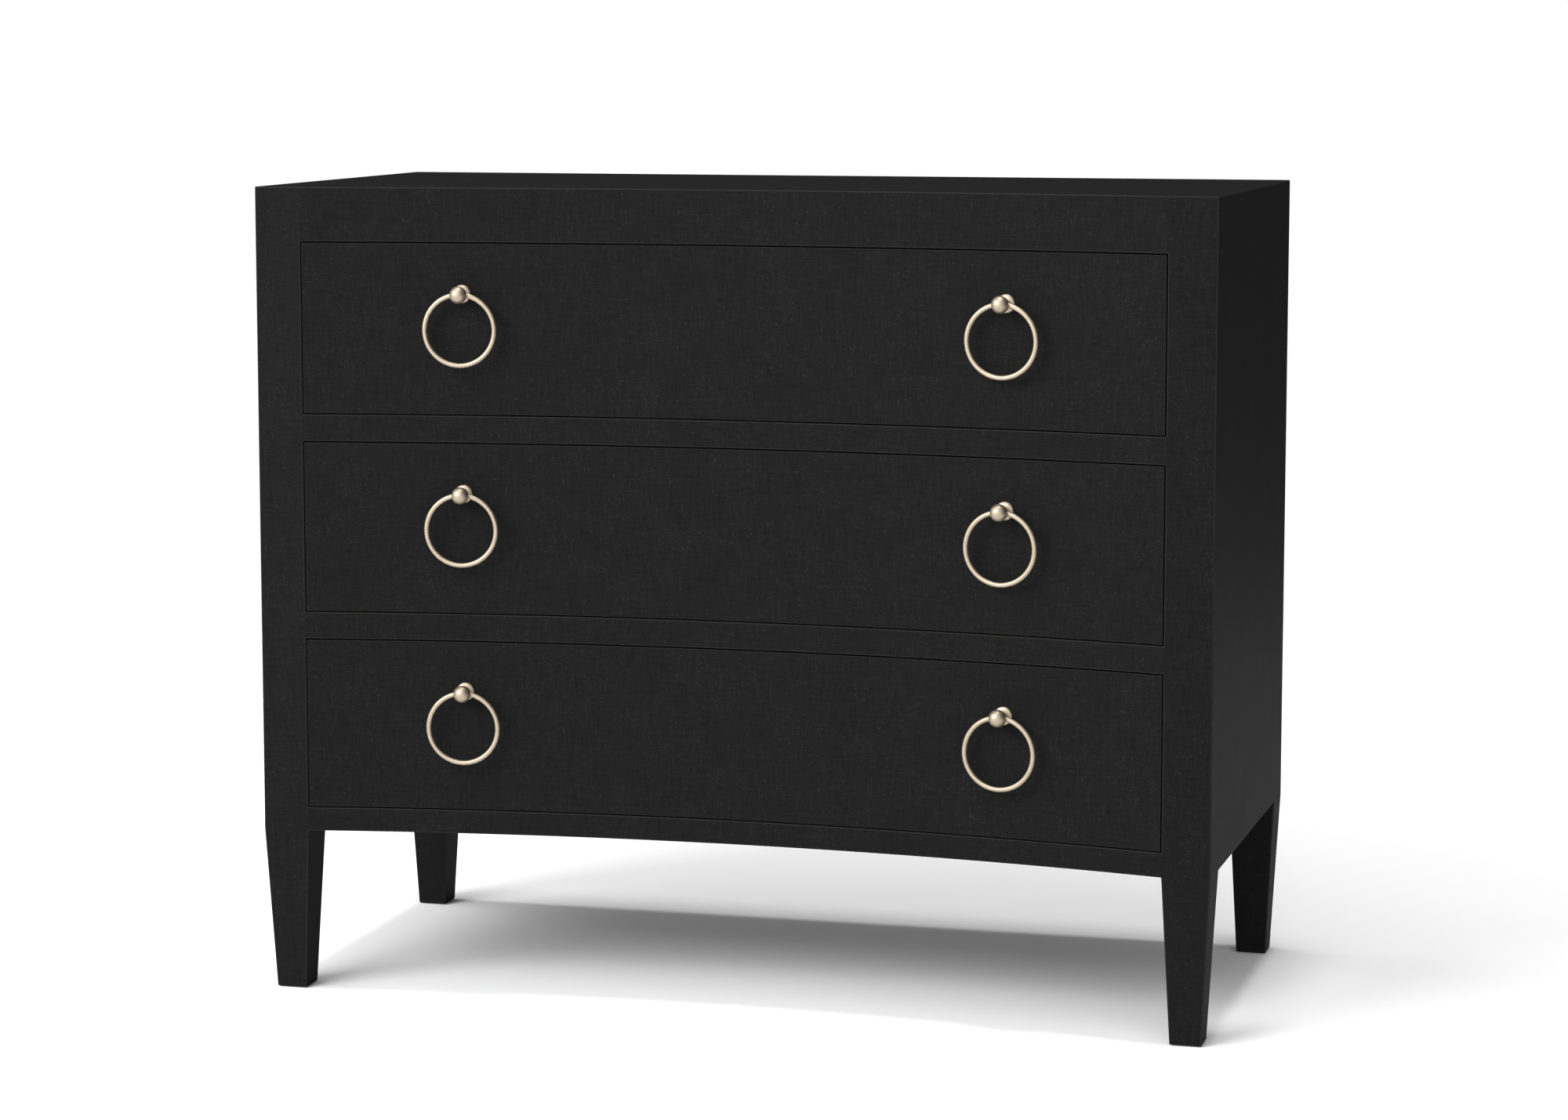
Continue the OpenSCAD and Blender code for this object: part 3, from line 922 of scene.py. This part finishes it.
# %% Turn a profile on the lathe
def turned(profile, sides=64):
    """A closed solid from (radius, y) points, turned round the y axis."""
    bm = bmesh.new()
    rings = []
    for radius, y in profile:
        if radius < 1e-7:
            rings.append([bm.verts.new((0, y, 0))])
        else:
            rings.append([bm.verts.new((radius * math.cos(a), y, radius * math.sin(a)))
                          for a in (2 * math.pi * k / sides for k in range(sides))])
    for first, second in zip(rings, rings[1:]):
        for k in range(sides):
            corners = [first[k % len(first)], first[(k + 1) % len(first)],
                       second[(k + 1) % len(second)], second[k % len(second)]]
            corners = list(dict.fromkeys(corners))
            if len(corners) > 2:
                bm.faces.new(corners)
    if len(rings[0]) > 1 and len(rings[-1]) > 1 and profile[0] != profile[-1]:
        for ring in (rings[0], rings[-1]):
            bm.faces.new(ring)
    bmesh.ops.remove_doubles(bm, verts=bm.verts, dist=1e-7)
    bmesh.ops.recalc_face_normals(bm, faces=bm.faces)
    return bm


# %% Ball and neck
def cut_away(mesh, tool):
    """The mesh with the tool's shape taken out of it."""
    holder = bpy.data.objects.new("whole", mesh)
    cutter = bpy.data.objects.new("tool", tool)
    SCENE.collection.objects.link(holder)
    SCENE.collection.objects.link(cutter)
    taken = holder.modifiers.new("cut", "BOOLEAN")
    taken.operation, taken.object, taken.solver = "DIFFERENCE", cutter, "EXACT"
    result = settled(holder)
    bpy.data.objects.remove(cutter)
    return result


ball_r = BALL_D / 2
neck_r = 0.0045
bore_half = math.sqrt(ball_r ** 2 - KNOB_BACK ** 2)
bore_r = (RING_WIRE + bore_half ** 2 / RING_R + 0.0006) / 2
join = math.asin(neck_r / ball_r)
ball_profile = [(0.0, -KNOB_BACK - ball_r)]
ball_profile += [(ball_r * math.sin(a), -KNOB_BACK - ball_r * math.cos(a))
                 for a in ((math.pi - join) * k / 40 for k in range(1, 41))]
ball_profile += [(neck_r, AXIS_OUT + SEAT), (0.0, AXIS_OUT + SEAT)]
knob = to_mesh(turned(ball_profile), "knob")
past = ball_r + 0.002                             # the cutter ends outside the ball
half_bore = [(bore_r, bore_half - 0.0009), (bore_r + 0.0004, bore_half), (bore_r + 0.0012, past),
             (0.0, past)]
bore = turned([(r, -y) for r, y in reversed(half_bore)] + half_bore, 48)
bmesh.ops.rotate(bore, verts=bore.verts, cent=(0, 0, 0),
                 matrix=Matrix.Rotation(math.radians(90), 3, "Z"))
knob = even_shading(cut_away(knob, to_mesh(bore, "bore")), 30)
print("knob has", len(knob.polygons), "faces; bore", round(bore_r * 2000, 2), "mm")

# %% Rosette
inner = neck_r + 0.00005
edge_t, rise = 0.0014, 0.0026
dome = [(inner + (ROSETTE_R - inner) * math.cos(a), AXIS_OUT + SEAT - edge_t - rise * math.sin(a))
        for a in (math.pi / 2 * k / 14 for k in range(15))]
rosette_bm = turned([(inner, AXIS_OUT + SEAT), (ROSETTE_R - 0.0002, AXIS_OUT + SEAT),
                     (ROSETTE_R, AXIS_OUT + SEAT - 0.0002)] + dome + [(inner, AXIS_OUT + SEAT)])
rosette = even_shading(to_mesh(rosette_bm, "rosette"), 30)
print("rosette has", len(rosette.polygons), "faces")

# %% Ring
def ring_recipe():
    recipe = Recipe("wire_ring", Radius="Float", Wire="Float", Around="Int", Across="Int")
    g = recipe.given
    path = recipe.node("GeometryNodeCurvePrimitiveCircle", None,
                       {"Resolution": g["Around"], "Radius": g["Radius"]}, out="Curve")
    wire = recipe.node("GeometryNodeCurvePrimitiveCircle", None,
                       {"Resolution": g["Across"], "Radius": g["Wire"] * 0.5}, out="Curve")
    swept = recipe.node("GeometryNodeCurveToMesh", None, {"Curve": path, "Profile Curve": wire})
    smooth = recipe.node("GeometryNodeSetShadeSmooth", None, {0: swept})
    return recipe.finish(smooth, BRASS)


ring = grow(ring_recipe(), Radius=RING_R, Wire=RING_WIRE, Around=160, Across=32)
ring.transform(Matrix.Translation((0, 0, -RING_R)) @ Matrix.Rotation(math.radians(90), 4, "X"))
print("ring has", len(ring.polygons), "faces")

# %% [markdown]
# ## Screws
#
# Two kinds show: flat heads let into the back panel, and pan heads inside the drawers that hold
# the pulls and on the slides. Each kind is turned once, its cross recess is cut once, and a recipe
# stands it on points that know which way they face.

# %% Turn the screws
CROSS_FACES = ((0, 1, 2, 3), (7, 6, 5, 4), (0, 4, 5, 1), (1, 5, 6, 2), (2, 6, 7, 3), (3, 7, 4, 0))


def screw(profile, reach, top, depth):
    """A screw whose head faces -y and has a cross recess of that reach and depth from its top."""
    whole = to_mesh(turned(profile, 32), "screw")
    for turn in (0, 90):
        bm = bmesh.new()
        corners = []
        for y, k in ((top - 0.0004, 1.0), (top + depth, 0.45)):
            for x, z in ((-1, -1), (1, -1), (1, 1), (-1, 1)):
                corners.append(bm.verts.new((x * reach * k, y, z * reach * 0.22 * k)))
        for quad in CROSS_FACES:
            bm.faces.new([corners[q] for q in quad])
        bmesh.ops.rotate(bm, verts=bm.verts, cent=(0, 0, 0),
                         matrix=Matrix.Rotation(math.radians(turn), 3, "Y"))
        bmesh.ops.recalc_face_normals(bm, faces=bm.faces)
        whole = cut_away(whole, to_mesh(bm, "cross"))
    return even_shading(whole, 30)


def domed(radius, rim, height, steps):
    """The profile of a domed head that stands the rim and its own height above y = 0."""
    return [(0.0, -rim - height)] + [
        (radius * math.sin(a), -rim - height * math.cos(a))
        for a in (math.pi / 2 * k / steps for k in range(1, steps + 1))]


flat_head = screw([(0.0, 0.0), (0.0038, 0.0), (0.0040, 0.0002), (0.0018, 0.0024),
                   (0.0018, 0.026), (0.0, 0.028)], reach=0.0024, top=0.0, depth=0.0016)
pan_head = screw(domed(0.0045, 0.0012, 0.0018, 8)
                 + [(0.0045, -0.0002), (0.0043, 0.0), (0.0020, 0.0), (0.0020, 0.031),
                    (0.0, 0.031)], reach=0.0026, top=-0.0030, depth=0.0018)
small_head = screw(domed(0.0030, 0.0004, 0.0008, 6) + [(0.0030, 0.0), (0.0, 0.0)],
                   reach=0.0017, top=-0.0012, depth=0.0007)
for kind, pattern in (("flat", flat_head), ("pan", pan_head), ("small pan", small_head)):
    print(kind, "head screw has", len(pattern.polygons), "faces")


# %% Stand screws on points
def screw_recipe():
    recipe = Recipe("screws_on_points", Screw="Object")
    info = recipe.node("GeometryNodeObjectInfo", None, {"Object": recipe.given["Screw"]},
                       out="Geometry")
    facing = recipe.node("GeometryNodeInputNamedAttribute", {"data_type": "FLOAT_VECTOR"},
                         {"Name": "facing"})
    turn = recipe.node("FunctionNodeAlignRotationToVector", {"axis": "Y"}, {"Vector": facing})
    spread = recipe.node("GeometryNodeInstanceOnPoints", None,
                         {"Points": recipe.start, "Instance": info, "Rotation": turn},
                         out="Instances")
    return recipe.finish(spread, STEEL)


SCREWS = screw_recipe()


def drive(name, pattern, points, inward, body, *stands_for):
    """Copies of one screw at the points, each pointing along its inward direction."""
    template = bpy.data.objects.new("template", pattern)
    SCENE.collection.objects.link(template)
    mesh = grow(SCREWS, dots(points, inward), Screw=template)
    bpy.data.objects.remove(template)
    print(name, len(points), "screws")
    return put(name, mesh, STEEL, body, "zinc_steel", *stands_for)


HEAD_R = 0.004
ROWS = 5
screws_low, screws_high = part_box("back_screws")
between = (screws_high.z - screws_low.z - 2 * HEAD_R) / (ROWS - 1)
rows = [screws_low.z + HEAD_R + n * between for n in range(ROWS)]
places = [Vector((s * (screws_high.x - HEAD_R), BACK_Y, z)) for s in SIDES.values() for z in rows]
drive("back_flat_screws", flat_head, places, [Vector((0, -1, 0))] * len(places), "case",
      "back_screws")

# %% Hang the pulls and screw on the slides
SCREW_FACE = 0.0115                               # slide screw heads, from the post's face
SCREW_PLACES = (0.08, 0.34, 0.62, 0.90)           # along a drawer member
for name in DRAWERS:
    body = name + "_drawer"
    frames = {side: pull_frame(name, side) for side in SIDES}
    for side in SIDES:
        post = knob.copy()
        post.transform(frames[side])
        put(f"{name}_brass_knob_{side}", post, BRASS, body, "champagne_brass",
            f"{body}_pull_post_{side}")
        wire = ring.copy()
        wire.transform(frames[side])
        put(f"{name}_brass_ring_{side}", wire, BRASS, f"{body}_ring_{side}",
            "champagne_brass", f"{body}_pull_ring_{side}")
    bm = bmesh.new()
    for side in SIDES:
        washer = rosette.copy()
        washer.transform(frames[side])
        bm.from_mesh(washer)
    put(f"{name}_brass_rosettes", even_shading(to_mesh(bm, "rosettes"), 30), BRASS, body,
        "champagne_brass", body + "_pull_rosettes")
    heads = [frames[side] @ Vector((0, AXIS_OUT + FRONT_T, 0)) for side in SIDES]
    inward = [-(frames[side].to_3x3() @ Vector((0, 1, 0))) for side in SIDES]
    drive(f"{name}_pull_pan_screws", pan_head, heads, inward, body, body + "_pull_screws")
    low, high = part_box(name + "_slide_drawer_members")
    spots, into = [], []
    for s in SIDES.values():
        for k in SCREW_PLACES:
            spots.append(Vector((s * (OPEN_HALF - SCREW_FACE), low.y + k * (high.y - low.y),
                                 (low.z + high.z) / 2)))
            into.append(Vector((-s, 0, 0)))
    drive(f"{name}_slide_pan_screws", small_head, spots, into, body)

# %% Glides
board("leg_glides", "nylon_glides", at_heights(0.0), NYLON, "case", "nylon", width=0.0005)

# %% [markdown]
# ## Floor and light
#
# The chest stands on a plain pale floor in a white studio. The walls in front and to the left are
# lit, and their light reaches in under the case, so the shadow there fades towards the front. A
# lamp straight above gives the shadow its crisp rear edge. A softbox in front and to the left
# makes the left stile a little lighter than the right one. The pale floor throws light back up on
# the sides.

# %% Floor
floor_finish = Finish("pale_floor")
dust = floor_finish.noise(floor_finish.place(), 3.0, 3.0)
floor_material = floor_finish.surface(
    Base_Color=floor_finish.mix((0.86, 0.86, 0.86, 1), (0.90, 0.90, 0.90, 1), dust),
    Roughness=0.85,
    Specular_IOR_Level=0.1,
)
FLOOR_R = 2.6
RIM_SIDES = 128
floor_mesh = bpy.data.meshes.new("floor")
rim = [(FLOOR_R * math.cos(a), FLOOR_R * math.sin(a), 0.0)
       for a in (2 * math.pi * k / RIM_SIDES for k in range(RIM_SIDES))]
floor_mesh.from_pydata(rim, [], [tuple(range(RIM_SIDES))])
floor_mesh.materials.append(floor_material)
floor = bpy.data.objects.new("floor", floor_mesh)
SCENE.collection.objects.link(floor)
print("floor", FLOOR_R * 2, "m across")


# %% Lights
def lamp(name, kind, power, place, towards, **settings):
    data = bpy.data.lights.new(name, kind)
    data.energy = power
    for key, value in settings.items():
        setattr(data, key, value)
    obj = bpy.data.objects.new(name, data)
    obj.location = place
    obj.rotation_euler = (Vector(towards) - Vector(place)).to_track_quat("-Z", "Y").to_euler()
    SCENE.collection.objects.link(obj)
    print(name, kind, power)


lamp("overhead", "SUN", 1.75, (0.0, 0.0, 4.0), (0, 0, 0), angle=math.radians(11))
lamp("front_softbox", "AREA", 130.0, (-1.9, -2.9, 2.3), (0, 0, 0.6),
     shape="RECTANGLE", size=2.4, size_y=1.8)

# %% Lit studio walls
WALL_LIGHT = 1.5                                  # the lit walls in front and to the left
ROOM_LIGHT = 0.14                                 # what every other direction sends back
world = bpy.data.worlds.new("studio")
world.use_nodes = True
SCENE.world = world
sky = Graph(world.node_tree)
world.node_tree.nodes.clear()
background = sky.node("ShaderNodeBackground", None, {"Color": (1, 1, 1, 1), "Strength": 1.0})
across, depth = sky.split(sky.node("ShaderNodeTexCoord", out="Generated"))[:2]
lit_wall = (depth * -1.0 - across * 0.6).step(-0.10, 0.50)
room = sky.node("ShaderNodeBackground", None,
                {"Color": (1, 1, 1, 1), "Strength": lit_wall * WALL_LIGHT + ROOM_LIGHT})
seen = sky.node("ShaderNodeLightPath", out="Is Camera Ray")
both_skies = sky.node("ShaderNodeMixShader", None, {0: seen, 1: room, 2: background})
sky.node("ShaderNodeOutputWorld", None, {"Surface": both_skies})
SCENE.view_settings.view_transform = "Standard"

# %% [markdown]
# ## Finish

# %% Finish
bpy.context.view_layer.update()
